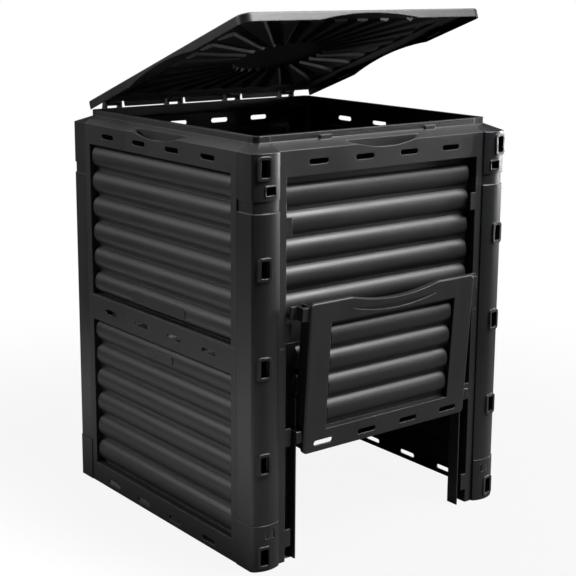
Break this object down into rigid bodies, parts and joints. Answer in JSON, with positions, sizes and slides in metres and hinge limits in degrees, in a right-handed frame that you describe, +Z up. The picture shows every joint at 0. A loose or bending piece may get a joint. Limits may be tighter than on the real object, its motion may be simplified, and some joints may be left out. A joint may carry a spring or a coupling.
{
  "type": "compost bin",
  "caption": "Square garden compost bin with ribbed panel walls, a hinged lid standing part open and a sliding, tilting hatch low in front.",
  "frame": {"origin": "centre of the footprint on the ground", "axes": "+Z up, -Y towards the hatch side, +X to the right seen from the hatch side"},
  "size_m": [0.623, 0.6681, 1.0012],
  "materials": {
    "wall_plastic": "satin moulded polypropylene",
    "post_plastic": "satin moulded polypropylene, a little smoother",
    "lid_plastic": "satin moulded polypropylene",
    "hatch_plastic": "satin moulded polypropylene",
    "pin_plastic": "smooth moulded nylon"
  },
  "bodies": {
    "bin": {"left_upper_panel": "wall_plastic", "left_lower_panel": "wall_plastic", "right_upper_panel": "wall_plastic", "right_lower_panel": "wall_plastic", "back_upper_panel": "wall_plastic", "back_lower_panel": "wall_plastic", "front_upper_panel": "wall_plastic", "front_lower_panel": "wall_plastic", "front_left_foot": "post_plastic", "front_left_post": "post_plastic", "front_left_cap": "post_plastic", "front_right_foot": "post_plastic", "front_right_post": "post_plastic", "front_right_cap": "post_plastic", "back_left_foot": "post_plastic", "back_left_post": "post_plastic", "back_left_cap": "post_plastic", "back_right_foot": "post_plastic", "back_right_post": "post_plastic", "back_right_cap": "post_plastic", "hinge_pins": "pin_plastic"},
    "lid_body": {"lid": "lid_plastic"},
    "hatch_slider": {"hatch_shoe_left": "pin_plastic", "hatch_shoe_right": "pin_plastic"},
    "hatch_body": {"hatch": "hatch_plastic"}
  },
  "joints": [
    {"name": "lid_hinge", "type": "hinge", "parent": "bin", "child": "lid_body", "pos_m": [0, 0.292, 0.8], "axis": [-1, 0, 0], "range_deg": [-20, 85]},
    {"name": "hatch_slide", "type": "slide", "parent": "bin", "child": "hatch_slider", "axis": [0, 0, 1], "range_m": [-0.195, 0.03]},
    {"name": "hatch_tilt", "type": "hinge", "parent": "hatch_slider", "child": "hatch_body", "pos_m": [0, -0.318, 0.24], "axis": [1, 0, 0], "range_deg": [-3.9, 35]}
  ]
}
